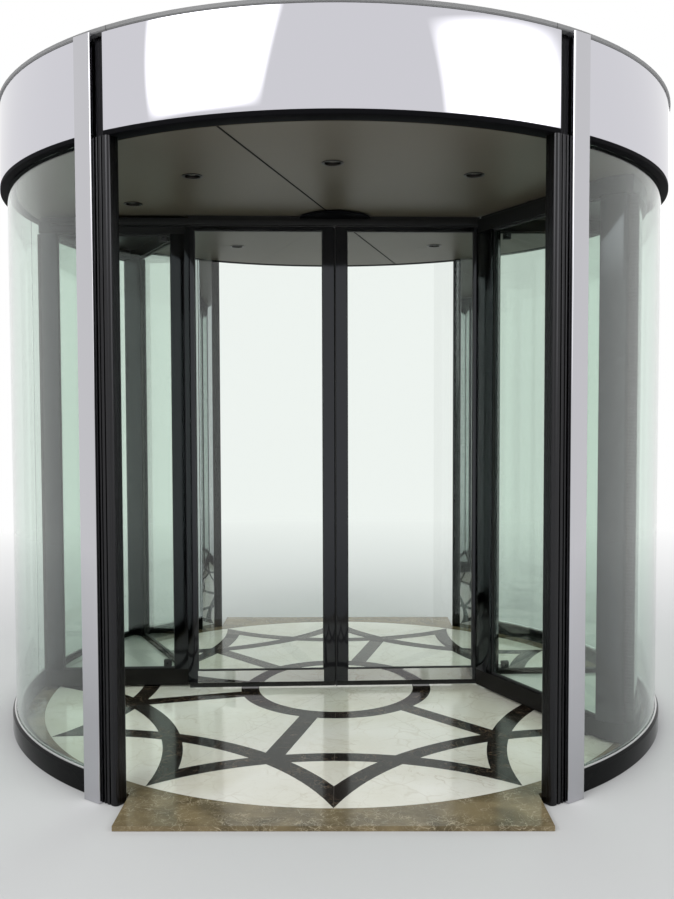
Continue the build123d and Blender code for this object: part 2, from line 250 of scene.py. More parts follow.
def addNode(tree, kind, **values):
    # A new node with its settings and inputs
    return feed(tree, tree.nodes.new(kind), **values)


def mathNode(tree, operation, first, second=0.0):
    # One operation on two numbers or links
    return addNode(tree, "ShaderNodeMath", operation=operation, I0=first, I1=second).outputs[0]


def times(tree, product, *factors):
    # The product of all the factors
    for factor in factors:
        product = mathNode(tree, "MULTIPLY", product, factor)
    return product


def noise(tree, position, scale, detail=2.0, distortion=0.0):
    # A noise that gives a value and a colour
    return addNode(tree, "ShaderNodeTexNoise", Vector=position, Scale=scale, Detail=detail, Distortion=distortion)


def mixColor(tree, mask, first, second):
    # The first colour where the mask is 0, the second where it is 1
    return addNode(tree, "ShaderNodeMix", data_type="RGBA", I0=mask, I6=first, I7=second).outputs[2]


def ramp(tree, value, low, high, fromLow=0.0, fromHigh=1.0):
    # The range from fromLow to fromHigh drawn out to low and high, and held there beyond it
    return addNode(tree, "ShaderNodeMapRange", Value=value, From_Min=fromLow, From_Max=fromHigh, To_Min=low,
                   To_Max=high).outputs[0]


def mixShaders(tree, mask, first, second, output):
    # The first shader where the mask is 0 and the second where it is 1, joined to the output node
    mix = addNode(tree, "ShaderNodeMixShader", I0=mask, I1=first.outputs[0], I2=second.outputs[0])
    feed(tree, tree.nodes[output], Surface=mix.outputs[0])


def newGroup(name, output, **inputs):
    # A group whose inputs start at a number, at a vector of three or at a colour of four
    tree = bpy.data.node_groups.new(name, "ShaderNodeTree")
    kinds = {1: "NodeSocketFloat", 3: "NodeSocketVector", 4: "NodeSocketColor"}
    for label, value in inputs.items():
        socket = tree.interface.new_socket(label.replace("_", " "), in_out="INPUT", socket_type=kinds[np.size(value)])
        socket.default_value = value
    outputKind = "NodeSocketColor" if output == "Color" else "NodeSocketFloat"
    tree.interface.new_socket(output, in_out="OUTPUT", socket_type=outputKind)
    return tree, tree.nodes.new("NodeGroupInput").outputs, tree.nodes.new("NodeGroupOutput")


def stoneVeinGroup():
    # Clouds of one noise, veins where a second noise crosses its middle value, healed cracks along the borders of
    # warped cells, and short flecks of a fine noise. A range is the part of a noise that is drawn out to 0 and 1.
    tree, given, result = newGroup(
        "stoneVeins", "Color", Vector=(0, 0, 0), Ground=(0.8, 0.8, 0.8, 1), Cloud=(0.7, 0.7, 0.7, 1),
        Vein=(0.5, 0.5, 0.5, 1), Scale=3.0, Vein_Width=0.03, Vein_Amount=0.5, Fleck_Amount=0.2, Crack_Amount=0.3)
    finer = dict(veins=1.6, flecks=11.0, cells=3.4)
    ranges = dict(clouds=(0.35, 0.68), veined=(0.42, 0.62), flecks=(0.57, 0.70), cracks=(0.0, 0.045),
                  cracked=(0.46, 0.56))
    warping = (0.22, 0.22, 0.22)
    position, scale = given["Vector"], given["Scale"]
    veinScale = times(tree, scale, finer["veins"])
    veins = noise(tree, position, veinScale, detail=8, distortion=1.6).outputs[0]
    away = mathNode(tree, "ABSOLUTE", mathNode(tree, "SUBTRACT", veins, 0.5))
    line = mathNode(tree, "SUBTRACT", 1.0, mathNode(tree, "DIVIDE", away, given["Vein Width"]))
    breaks = ramp(tree, noise(tree, position, scale).outputs[0], 0, 1, *ranges["veined"])
    line = times(tree, mathNode(tree, "MAXIMUM", line, 0.0), breaks, given["Vein Amount"])
    cloudy = ramp(tree, noise(tree, position, scale, detail=6, distortion=0.6).outputs[0], 0, 1, *ranges["clouds"])
    veined = mixColor(tree, line, mixColor(tree, cloudy, given["Ground"], given["Cloud"]), given["Vein"])
    flecks = noise(tree, position, times(tree, scale, finer["flecks"]), detail=5, distortion=2.2).outputs[0]
    fleck = times(tree, ramp(tree, flecks, 0, 1, *ranges["flecks"]), given["Fleck Amount"])
    warp = noise(tree, position, veinScale, detail=4)
    warped = addNode(tree, "ShaderNodeVectorMath", operation="MULTIPLY_ADD", I0=warp.outputs["Color"], I1=warping,
                     I2=position)
    cells = addNode(tree, "ShaderNodeTexVoronoi", feature="DISTANCE_TO_EDGE", Vector=warped.outputs[0],
                    Scale=times(tree, scale, finer["cells"]))
    crack = times(tree, ramp(tree, cells.outputs["Distance"], 1, 0, *ranges["cracks"]), given["Crack Amount"],
                  ramp(tree, warp.outputs[0], 0, 1, *ranges["cracked"]))
    feed(tree, result, Color=mixColor(tree, mathNode(tree, "MAXIMUM", fleck, crack), veined, given["Vein"]))
    return tree


def smudgeGroup():
    # Handling marks: a soft noise times a finer one, put out as a mask
    tree, given, result = newGroup("smudges", "Mask", Vector=(0, 0, 0), Scale=2.0)
    finer, marked = 11.0, (0.45, 0.75)
    soft = noise(tree, given["Vector"], given["Scale"], detail=3).outputs[0]
    fine = noise(tree, given["Vector"], times(tree, given["Scale"], finer), detail=5).outputs[0]
    feed(tree, result, Mask=times(tree, ramp(tree, soft, 0, 1, *marked), fine))
    return tree


def stretchedNoise(tree, given, stretch, detail):
    # A noise drawn out along the axes whose stretch is small
    stretched = addNode(tree, "ShaderNodeMapping", Vector=given["Vector"], Scale=stretch)
    return noise(tree, stretched.outputs[0], given["Scale"], detail).outputs[0]


def sheetWaveGroup():
    # The slow waves of thin polished sheet, longer up and down than along
    tree, given, result = newGroup("sheetWaves", "Height", Vector=(0, 0, 0), Scale=1.4)
    feed(tree, result, Height=stretchedNoise(tree, given, (1.0, 1.0, 0.45), 1.0))
    return tree


def brushedGroup():
    # Fine grain, by default drawn out along Z
    tree, given, result = newGroup("brushedGrain", "Grain", Vector=(0, 0, 0), Stretch=(1.0, 1.0, 0.006), Scale=900.0)
    feed(tree, result, Grain=stretchedNoise(tree, given, given["Stretch"], 3))
    return tree


groups = {
    "stone": stoneVeinGroup(),
    "smudges": smudgeGroup(),
    "waves": sheetWaveGroup(),
    "brushed": brushedGroup(),
}


def addGroup(tree, name, **values):
    # One use of a shared group, with its own values
    return addNode(tree, "ShaderNodeGroup", node_tree=groups[name], **values).outputs[0]


def newMaterial(name, **shader):
    # A material with its shader's fixed numbers set on the shader's own sockets
    material = bpy.data.materials.new(name)
    material.use_nodes = True
    tree = material.node_tree
    principled = feed(tree, tree.nodes["Principled BSDF"], **shader)
    return material, tree, principled, tree.nodes.new("ShaderNodeTexCoord").outputs["Object"]


def handled(tree, position, scale, rough, rise, fullMark=1.0):
    # A roughness that goes up by the rise where a handling mark is full
    marks = addGroup(tree, "smudges", Vector=position, Scale=scale)
    return ramp(tree, marks, rough, rough + rise, 0.0, fullMark)


def bumped(tree, height, strength, distance):
    # A normal that is tilted by a height
    return addNode(tree, "ShaderNodeBump", Strength=strength, Distance=distance, Height=height).outputs[0]


stoneLooks = {
    "creamStone": dict(ground=(0.86, 0.84, 0.765), cloud=(0.74, 0.71, 0.60), vein=(0.50, 0.43, 0.31), scale=2.1,
                       width=0.014, amount=0.50, fleck=0.14, crack=0.30, rough=0.08, gloss=0.5,
                       joint=(0.45, 0.42, 0.35)),
    "darkStone": dict(ground=(0.019, 0.015, 0.012), cloud=(0.009, 0.007, 0.006), vein=(0.20, 0.14, 0.09), scale=5.5,
                      width=0.012, amount=0.75, fleck=0.08, crack=0.55, rough=0.10, gloss=0.2,
                      joint=(0.16, 0.15, 0.13)),
    "brownStone": dict(ground=(0.235, 0.182, 0.098), cloud=(0.088, 0.068, 0.034), vein=(0.52, 0.45, 0.31), scale=6.2,
                       width=0.012, amount=0.70, fleck=0.24, crack=0.60, rough=0.13, gloss=0.3,
                       joint=(0.10, 0.08, 0.05)),
}
stoneMarks = dict(scale=1.3, rise=0.16)


def stoneMaterial(name, joints):
    # Polished stone: the vein group's colours, and the joints' colour where their mask is 1
    look = stoneLooks[name]
    material, tree, principled, position = newMaterial(name, Specular_IOR_Level=look["gloss"])
    color = addGroup(tree, "stone", Vector=position, Ground=look["ground"], Cloud=look["cloud"], Vein=look["vein"],
                     Scale=look["scale"], Vein_Width=look["width"], Vein_Amount=look["amount"],
                     Fleck_Amount=look["fleck"], Crack_Amount=look["crack"])
    feed(tree, principled, Base_Color=mixColor(tree, joints(tree, position), color, look["joint"]),
         Roughness=handled(tree, position, stoneMarks["scale"], look["rough"], stoneMarks["rise"]))
    return material


def distanceOut(tree, position):
    # The distance from the middle in plan, with its x and y
    x, y = addNode(tree, "ShaderNodeSeparateXYZ", Vector=position).outputs[:2]
    return mathNode(tree, "SQRT", mathNode(tree, "ADD", times(tree, x, x), times(tree, y, y))), x, y


def radialJoints(step, offset, halfWidth):
    # A mask that is 1 within a half width of lines from the middle, one every step degrees
    def joints(tree, position):
        radius, x, y = distanceOut(tree, position)
        angle = mathNode(tree, "ARCTAN2", x, times(tree, y, -1.0))
        angle = mathNode(tree, "ADD", angle, math.radians(offset))
        folded = mathNode(tree, "PINGPONG", angle, math.radians(step / 2))
        return mathNode(tree, "LESS_THAN", times(tree, folded, radius), halfWidth)
    return joints


metalLooks = {
    "mirrorSteel": dict(color=(0.60, 0.595, 0.64), rough=0.02, smudge=0.05, wave=0.008, waveScale=1.9),
    "stripSteel": dict(color=(0.525, 0.522, 0.550), rough=0.025, smudge=0.06, wave=0.0018, waveScale=1.2),
    # The doors' frames and bottom rails are one polished steel. Its near-black copy paints in dark reflections of the
    # surroundings; it also serves the showcase posts and the screws
    "steelPaintedDarkReflection": dict(color=(0.040, 0.0415, 0.045), rough=0.06, smudge=0.10, wave=0.0003, waveScale=1.5),
    # Its pale copy on the bottom rail paints in the reflection of the bright floor in front of the doors
    "steelPaintedFloorReflection": dict(color=(0.64, 0.635, 0.64), rough=0.04, smudge=0.12, wave=0.0006, waveScale=2.0),
    "caseBlack": dict(color=(0.012, 0.011, 0.010), rough=0.09, smudge=0.16, wave=0.0006, waveScale=2.0,
                      metallic=0.0, gloss=0.08),
    "ringBlack": dict(color=(0.005, 0.0054, 0.0054), rough=0.06, smudge=0.12, wave=0.0015, waveScale=1.6,
                      metallic=0.0, gloss=0.045),
    "trimSteel": dict(color=(0.52, 0.52, 0.52), rough=0.09, smudge=0.10),
}
metalMarks = dict(scale=2.2, full=0.7)


def polishedMaterial(name):
    # Polished metal or lacquer: handling marks in the roughness, slow waves in the bump
    look = metalLooks[name]
    material, tree, principled, position = newMaterial(
        name, Base_Color=look["color"], Metallic=look.get("metallic", 1.0), Specular_IOR_Level=look.get("gloss", 0.5))
    rough = handled(tree, position, metalMarks["scale"], look["rough"], look["smudge"], metalMarks["full"])
    feed(tree, principled, Roughness=rough)
    if "wave" in look:
        waves = addGroup(tree, "waves", Vector=position, Scale=look["waveScale"])
        feed(tree, principled, Normal=bumped(tree, waves, 1.0, look["wave"]))
    return material


satinGrain = dict(scale=700.0, dark=0.78, smoother=0.07, rougher=0.09, strength=0.35, height=0.0002)


def satinMaterial(name, color, rough, metallic=1.0, gloss=0.5):
    # Satin metal: a fine grain in the colour, the roughness and the bump
    g = satinGrain
    material, tree, principled, position = newMaterial(name, Metallic=metallic, Specular_IOR_Level=gloss)
    grain = addGroup(tree, "brushed", Vector=position, Scale=g["scale"])
    feed(tree, principled, Base_Color=mixColor(tree, grain, tuple(c * g["dark"] for c in color), color),
         Roughness=ramp(tree, grain, rough - g["smoother"], rough + g["rougher"]),
         Normal=bumped(tree, grain, g["strength"], g["height"]))
    return material


paintCoat = dict(cloudScale=1.1, markScale=1.6, markRise=0.2, peelScale=260.0, peelStrength=0.08, peelHeight=0.0002,
                 jointDark=0.3)


def paintMaterial(name, color, rough, speckle=0.04, peel=True, gloss=0.5, joints=None):
    # Paint: slow clouds, darker and paler than the colour by a share, handling marks and a fine bump
    p = paintCoat
    material, tree, principled, position = newMaterial(name, Specular_IOR_Level=gloss)
    dark, pale = (tuple(c * share for c in color) for share in (1 - speckle, 1 + speckle))
    mixed = mixColor(tree, noise(tree, position, p["cloudScale"], 4).outputs[0], dark, pale)
    if joints:
        mixed = mixColor(tree, joints(tree, position), mixed, tuple(c * p["jointDark"] for c in color))
    feed(tree, principled, Base_Color=mixed,
         Roughness=handled(tree, position, p["markScale"], rough, gloss * p["markRise"]))
    if peel:
        peelNoise = noise(tree, position, p["peelScale"]).outputs[0]
        feed(tree, principled, Normal=bumped(tree, peelNoise, p["peelStrength"], p["peelHeight"]))
    return material


def glassMaterial(name, color, markScale=0.8, markDark=0.985, shadowDark=0.97):
    # Clear glass whose shadow is a pale tint, so that light reaches what stands behind it
    material, tree, principled, position = newMaterial(name, Roughness=0.0, IOR=1.46, Transmission_Weight=1.0,
                                                       Specular_IOR_Level=0.5)
    marks = addGroup(tree, "smudges", Vector=position, Scale=markScale)
    feed(tree, principled, Base_Color=mixColor(tree, marks, color, tuple(c * markDark for c in color)))
    clear = addNode(tree, "ShaderNodeBsdfTransparent", Color=tuple(c * shadowDark for c in color))
    path = tree.nodes.new("ShaderNodeLightPath")
    mixShaders(tree, path.outputs["Is Shadow Ray"], principled, clear, "Material Output")
    return material


nylon = dict(dark=(0.006, 0.006, 0.006), pale=(0.030, 0.029, 0.027), rough=(0.6, 0.85), gloss=0.25, scale=260.0,
             strength=0.5, height=0.0004)


def brushMaterial(name, stretch):
    # Black nylon: fine lines along the bristles in the colour and the bump
    material, tree, principled, position = newMaterial(name, Specular_IOR_Level=nylon["gloss"])
    grain = addGroup(tree, "brushed", Vector=position, Scale=nylon["scale"], Stretch=stretch)
    feed(tree, principled, Base_Color=mixColor(tree, grain, nylon["dark"], nylon["pale"]),
         Roughness=ramp(tree, grain, *nylon["rough"]), Normal=bumped(tree, grain, nylon["strength"], nylon["height"]))
    return material


def lensMaterial():
    # A faintly lit lens, pressed in small cells
    look = dict(cells=240.0, middle=(0.17, 0.155, 0.13), border=(0.10, 0.09, 0.075), rough=(0.2, 0.4), glow=0.04)
    material, tree, principled, position = newMaterial("lightLens", Emission_Strength=look["glow"])
    away = addNode(tree, "ShaderNodeTexVoronoi", Vector=position, Scale=look["cells"]).outputs["Distance"]
    color = mixColor(tree, away, look["middle"], look["border"])
    feed(tree, principled, Base_Color=color, Emission_Color=color, Roughness=ramp(tree, away, *look["rough"]))
    return material


paint = {
    "cream": stoneMaterial("creamStone", radialJoints(step=60, offset=30, halfWidth=0.0006)),
    "dark": stoneMaterial("darkStone", radialJoints(step=30, offset=0, halfWidth=0.0005)),
    "brown": stoneMaterial("brownStone", radialJoints(step=60, offset=30, halfWidth=0.0010)),
    "mirror": polishedMaterial("mirrorSteel"),
    "strip": polishedMaterial("stripSteel"),
    # Two copies of one polished steel: the frame's near-black colour is painted dark reflection, the rail's pale
    # colour is painted floor reflection
    "frame": polishedMaterial("steelPaintedDarkReflection"),
    "rail": polishedMaterial("steelPaintedFloorReflection"),
    "case": polishedMaterial("caseBlack"),
    "ring": polishedMaterial("ringBlack"),
    "trim": polishedMaterial("trimSteel"),
    "jamb": satinMaterial("jambSatin", (0.037, 0.037, 0.039), rough=0.26),
    "lip": satinMaterial("lipSatin", (0.005, 0.005, 0.006), rough=0.60, metallic=0.0, gloss=0.02),
    "beam": satinMaterial("beamSatin", (0.009, 0.009, 0.009), rough=0.40, metallic=0.0, gloss=0.28),
    "rim": satinMaterial("rimSatin", (0.030, 0.027, 0.024), rough=0.35),
    "steel": satinMaterial("bareSteel", (0.5, 0.5, 0.5), rough=0.38),
    # The ceiling's colour is darkened well below the panels' own to paint in the shade that lies under the canopy
    "ceiling": paintMaterial("ceilingPanelPaintedShade", (0.122, 0.105, 0.078), rough=0.44, speckle=0.08, peel=False, gloss=0.15),
    "deck": paintMaterial("deckGrey", (0.20, 0.20, 0.20), rough=0.55, speckle=0.14, peel=False,
                          joints=radialJoints(step=60, offset=30, halfWidth=0.0022)),
    "shelf": paintMaterial("shelfSilver", (0.52, 0.52, 0.50), rough=0.30),
    "drumGlass": glassMaterial("drumGlass", (0.79, 0.865, 0.82)),
    "rotorGlass": glassMaterial("rotorGlass", (0.85, 0.90, 0.865)),
    "brush": brushMaterial("blackBrush", (1.0, 1.0, 0.01)),
    "sideBrush": brushMaterial("blackSideBrush", (0.01, 0.01, 1.0)),
    "gasket": paintMaterial("blackRubber", (0.018, 0.018, 0.018), rough=0.5),
    "lens": lensMaterial(),
}
print("materials made:", len(paint))


def dressNodes(finish, *names):
    # Nodes whose own shape is right get their finish
    for name in names:
        slots = nodes[name].data.materials
        slots.clear()
        slots.append(paint[finish])


# Floor


def floorInlay():
    # Arcs carried round the disc make a star with six points; a second star stands half a step from it.
    # An arc's radius for an azimuth is c cos a minus the root of rho squared less c squared sin squared a.
    inlay = dict(points=6, centre=2.3417, arcRadius=1.2647, bandWidth=0.091, drawnDisc=1.55, margin=0.001, steps=40,
                 ringInner=0.428, ringOuter=0.526, ringSteps=96, spokeStart=0.501, spokeStop=1.095,
                 spokeWidth=0.094, firstSpoke=-15, sunk=0.001, rise=0.0004, riseShares=(1.2, 1, 0.8, 0.6))
    # The two stars, the ring and the spokes each stand a little lower than the one before, by a share of the rise
    starTop, otherStarTop, ringBandTop, spokeTop = (floorTop + inlay["rise"] * s for s in inlay["riseShares"])
    low = floorTop - inlay["sunk"]
    halfStep = 180 / inlay["points"]
    azimuth = np.linspace(-halfStep, halfStep, inlay["steps"] + 1)
    along, aside = (inlay["centre"] * wave(np.radians(azimuth)) for wave in (np.cos, np.sin))
    parts = []
    for arc in range(2 * inlay["points"]):
        edges = []
        for size in (inlay["arcRadius"], inlay["arcRadius"] + inlay["bandWidth"]):
            radius = np.minimum(along - np.sqrt(size**2 - aside**2), inlay["drawnDisc"] - inlay["margin"])
            edges.append(polar(radius * discRadius / inlay["drawnDisc"], azimuth + arc * halfStep))
        outline = np.concatenate([edges[0], edges[1][::-1]])
        parts.append(stacked(outline, [(0, low), (0, otherStarTop if arc % 2 else starTop)]))
    ring = section(inlay["ringInner"], inlay["ringOuter"], low, ringBandTop)
    parts.append(carried(ring, 0, 360, inlay["ringSteps"]))
    for spoke in range(inlay["points"]):
        spokeAzimuth = inlay["firstSpoke"] + 2 * halfStep * spoke
        bar = radialBar(inlay["spokeStart"], inlay["spokeStop"], inlay["spokeWidth"], spokeAzimuth)
        parts.append(stacked(bar, [(0, low), (0, spokeTop)]))
    addPiece("floorInlay", parts, "dark", "enclosure")


dressNodes("cream", "floor_disc")
dressNodes("brown", "floor_border", "thresholds")
floorInlay()
print("floor done")


# Drum walls


def azimuthSpan(node):
    # A node's azimuth range, from the points of its own mesh. A node across the back, where azimuths jump from 180
    # to -180, is counted from 0 to 360.
    nearMiddle = 0.2
    mesh = nodes[node].data
    points = np.empty(len(mesh.vertices) * 3, np.float32)
    mesh.vertices.foreach_get("co", points)
    x, y = points.reshape(-1, 3).T[:2]
    azimuth = np.degrees(np.arctan2(x, -y))
    if abs(x.mean()) < nearMiddle and y.mean() > 0:
        azimuth = azimuth % 360
    return azimuth.min(), azimuth.max()


drumLook = dict(ringWidth=0.060, ringBevel=0.008, ringRound=0.005, footRound=0.001, paneInset=0.018,
                paneThickness=0.012, paneBevel=0.0012, beadWidth=0.009, beadHeight=0.010, beadRound=0.003,
                beadGap=0.02, steps=96)
ringInner = ringOuter - drumLook["ringWidth"]


def drumWall(side):
    # Sections of the base ring, the two beads and the panes, carried along the ring's and the panes' azimuths
    d = drumLook
    start, stop = azimuthSpan(f"base_ring_{side}")
    bevel = d["ringBevel"]
    corners = [(ringInner, 0.0), (ringOuter, 0.0), (ringOuter, ringTop - bevel), (ringOuter - bevel, ringTop),
               (ringInner + bevel, ringTop), (ringInner, ringTop - bevel)]
    ring = roundedOutline(corners, [d["footRound"]] * 2 + [d["ringRound"]] * 4)
    addPiece(f"baseRing_{side}", [carried(ring, start, stop, d["steps"])], "ring", "enclosure",
             [f"base_ring_{side}"])
    outer = ringOuter - d["paneInset"]
    inner = outer - d["paneThickness"]
    beads = []
    for face in (outer, inner - d["beadWidth"]):
        bead = section(face, face + d["beadWidth"], ringTop, ringTop + d["beadHeight"], d["beadRound"])
        beads.append(carried(bead, start + d["beadGap"], stop - d["beadGap"], d["steps"]))
    addPiece(f"glassBeads_{side}", beads, "trim", "enclosure")
    pane = chamfered(inner, outer, ringTop, ceilingZ, d["paneBevel"])
    for end in ("front", "rear"):
        node = f"drum_glass_{side}_{end}"
        addPiece(f"drumPane_{side}_{end}", [carried(pane, *azimuthSpan(node), d["steps"])], "drumGlass", "enclosure",
                 [node])


for side in ("left", "right"):
    drumWall(side)
print("drum walls done")


# End posts


jambLook = dict(azimuth=33.8, stripWidth=0.092, stripDepth=0.100, stripProud=0.040, stripRound=0.003,
                stripBevel=0.0015, recess=0.005, width=0.068, depth=0.060, proud=0.020, corner=0.016,
                backCorners=(0.003, 0.0096), lastCorner=0.004, grooves=(0.034, 0.012), grooveWidth=0.006,
                grooveDepth=0.008, grooveRound=(0.0035, 0.0015), bevel=0.0008, neckWidth=0.012, neckSetback=0.020,
                neckLift=0.001, slotGap=0.0005, slotWidth=0.033, slotInside=0.014, slotDepth=0.040, slotLap=0.02,
                hiddenBevel=0.0005)


def jambOutline():
    # The jamb in plan, along and outward: a narrow rib, a middle rib and a wide face with a round corner
    j = jambLook
    start = j["stripWidth"] / 2 + j["recess"]
    end, front, back = start + j["width"], j["proud"], j["proud"] - j["depth"]
    corners = [(start, back), (end, back), (end, front)]
    radii = [*j["backCorners"], j["corner"]]
    half, deep = j["grooveWidth"] / 2, front - j["grooveDepth"]
    mouth, floor = j["grooveRound"]
    for place in j["grooves"]:
        x = start + place
        corners += [(x + half, front), (x + half, deep), (x - half, deep), (x - half, front)]
        radii += [mouth, floor, floor, mouth]
    return roundedOutline(corners + [(start, front)], radii + [j["lastCorner"]], 6)


def post(side, end):
    # Plans drawn along and outward from the post's place on the drum, then laid on its two axes
    j = jambLook
    sign = 1 if side == "right" else -1
    azimuth = sign * (j["azimuth"] if end == "front" else 180 - j["azimuth"])
    outwardAxis = polar(1, azimuth)
    alongAxis = polar(-sign if end == "front" else sign, azimuth + 90)

    def solid(outline, low, high, bevel):
        outline = outwardAxis * ringOuter + outline @ np.stack([alongAxis, outwardAxis])
        x, y = outline.T
        area = np.sum(x * np.roll(y, -1) - np.roll(x, -1) * y)
        return upright(outline if area > 0 else outline[::-1], low, high, bevel)

    stripEdge = j["stripWidth"] / 2
    strip = rectangle(0, j["stripProud"] - j["stripDepth"] / 2, j["stripWidth"], j["stripDepth"], j["stripRound"])
    addPiece(f"mirrorStrip_{end}_{side}", [solid(strip, 0, fasciaTop, j["stripBevel"])], "strip", "enclosure",
             [f"mirror_strip_{end}_{side}"])
    neck = section(stripEdge, stripEdge + j["neckWidth"], j["proud"] - j["depth"], j["proud"] - j["neckSetback"])
    slotStart = stripEdge + j["slotGap"]
    slot = section(slotStart, slotStart + j["slotWidth"], -j["slotInside"] - j["slotDepth"], -j["slotInside"])
    parts = [solid(jambOutline(), 0, ceilingZ, j["bevel"]), solid(neck, j["neckLift"], ceilingZ, j["hiddenBevel"]),
             solid(slot, ceilingZ - j["slotLap"], fasciaTop, j["hiddenBevel"])]
    addPiece(f"jamb_{end}_{side}", parts, "jamb", "enclosure", [f"jamb_{end}_{side}"])


for side in ("left", "right"):
    for end in ("front", "rear"):
        post(side, end)
print("posts done")


# Canopy


canopyLook = dict(sheets=dict(front=1, right=2, rear=1, left=2), fasciaThickness=0.016, fasciaRound=0.002,
                  seamWidth=0.0015, sheetSteps=48, lipRound=0.004, deckBevel=0.004, deckSteps=144)


def canopy():
    # The lip's and the fascia's sections are carried along each fascia's azimuths, with seams between sheets
    c = canopyLook
    lip = section(ringInner, lipOuter, ceilingZ, lipTop, c["lipRound"])
    sheet = section(lipOuter - c["fasciaThickness"], lipOuter, lipTop, fasciaTop, c["fasciaRound"])
    seam = math.degrees(c["seamWidth"] / lipOuter) / 2
    lips = []
    for name, count in c["sheets"].items():
        start, stop = azimuthSpan(f"fascia_{name}")
        lips.append(carried(lip, start, stop, drumLook["steps"]))
        edges = np.linspace(start, stop, count + 1)
        sheets = [carried(sheet, a + seam, b - seam, c["sheetSteps"]) for a, b in zip(edges, edges[1:])]
        addPiece(f"fasciaSheets_{name}", sheets, "mirror", "enclosure", [f"fascia_{name}"])
    addPiece("canopyLip", lips, "lip", "enclosure", ["canopy_lip"])
    edge = c["deckBevel"]
    deck = [(deckRadius - edge, fasciaTop), (deckRadius, fasciaTop + edge), (deckRadius, deckTop - edge),
            (deckRadius - edge, deckTop)]
    addPiece("canopyDeck", [turnedSolid(deck, c["deckSteps"])], "deck", "enclosure", ["canopy_deck"])


def downlights():
    # A rim turned about each light's middle, a dark dish up inside it and a small domed lens in the dish
    light = dict(circle=1.080, count=10, rimOuter=0.048, rimInner=0.036, rimDrop=0.0028, rimRound=0.0008,
                 rimTaper=0.002, rimWall=0.004, dishUp=0.007, dishLap=0.001, dishDepth=0.004, lensRadius=0.015,
                 lensDrop=0.0025, lensSetDown=0.0005, lensStart=0.3, lensRings=6, steps=40)
    outer, inner, lap, steps = light["rimOuter"], light["rimInner"], light["dishLap"], light["steps"]
    low, dishZ, wall = ceilingZ - light["rimDrop"], ceilingZ + light["dishUp"], inner + light["rimWall"]
    rim = roundedOutline([(outer, ceilingZ), (outer, low), (inner, low), (inner - light["rimTaper"], dishZ),
                          (wall, dishZ), (wall, ceilingZ)], light["rimRound"])
    dish = [(inner - lap, dishZ - lap), (inner - lap, dishZ + light["dishDepth"])]
    rise = np.linspace(light["lensStart"], math.pi / 2, light["lensRings"])
    dome = dishZ - light["lensDrop"] * np.cos(rise) - light["lensSetDown"]
    lens = [*zip(light["lensRadius"] * np.sin(rise), dome), (light["lensRadius"], dishZ)]
    middles = [polar(light["circle"], i * 360 / light["count"]) for i in range(light["count"])]
    for name, part, finish, replaced in (
        ("downlightRims", carried(rim, 0, 360, steps), "rim", ["downlights"]),
        ("downlightDishes", turnedSolid(dish, steps), "rim", ()),
        ("downlightLenses", turnedSolid(lens, steps), "lens", ()),
    ):
        addPiece(name, [moved(part, *middle) for middle in middles], finish, "enclosure", replaced)


def ceilingSeam():
    # Black strips along the joint of the ceiling's halves, from the hub out to the drum at both sides
    seam = dict(azimuths=(-15, 165), start=0.15, endGap=0.0005, width=0.009, proud=0.0008, sunk=0.0005)
    bars = [radialBar(seam["start"], ringInner - seam["endGap"], seam["width"], a) for a in seam["azimuths"]]
    heights = [(0, ceilingZ - seam["proud"]), (0, ceilingZ + seam["sunk"])]
    addPiece("ceilingSeam", [stacked(bar, heights) for bar in bars], "lip", "enclosure")


canopy()
# The ceiling halves get the darkened colour that paints the shade under the canopy
dressNodes("ceiling", "ceiling_left", "ceiling_right")
dressNodes("steel", "drive_bearing", "drive_shaft")
downlights()
ceilingSeam()
print("canopy done")


# Rotor: everything is drawn for the right side along X, then turned to its place


def sidePiece(name, side, parts, finish, replaced=None, body="rotor"):
    # A piece of one side; the left side stands half a turn round from the right
    turn = restTurn + (0 if side == "right" else 180)
    node = [f"{replaced}_{side}"] if replaced else ()
    addPiece(f"{name}_{side}", parts, finish, body, node, turn)


caseLook = dict(flatBack=0.035, sweep=1.620, endTrim=0.002, innerCorner=0.782, innerFace=0.120, innerSide=0.118,
                innerDepth=0.052, innerRound=0.0025, panelInset=0.027, endPostWidth=0.088, endPostInset=0.010,
                noseAzimuth=54.5, noseRadius=1.530, noseWidth=0.084, noseDepth=0.118, postRound=0.003,
                postBevel=0.0006, railWidth=0.050, railBevel=0.0015, pocketFloor=0.012, lap=0.001, shelfDrop=0.018,
                outlineSteps=40)
paneLook = dict(thickness=0.010, bevel=0.001, slantGap=0.004, curvedRadius=1.598, steps=48, gasket=0.005,
                gasketHeight=0.009, gasketBevel=0.0007, gasketRound=0.0008)


def nosePoint(radius):
    # The plan point at a radius, on the azimuth of the nose post's middle
    return polar(radius, caseLook["noseAzimuth"])


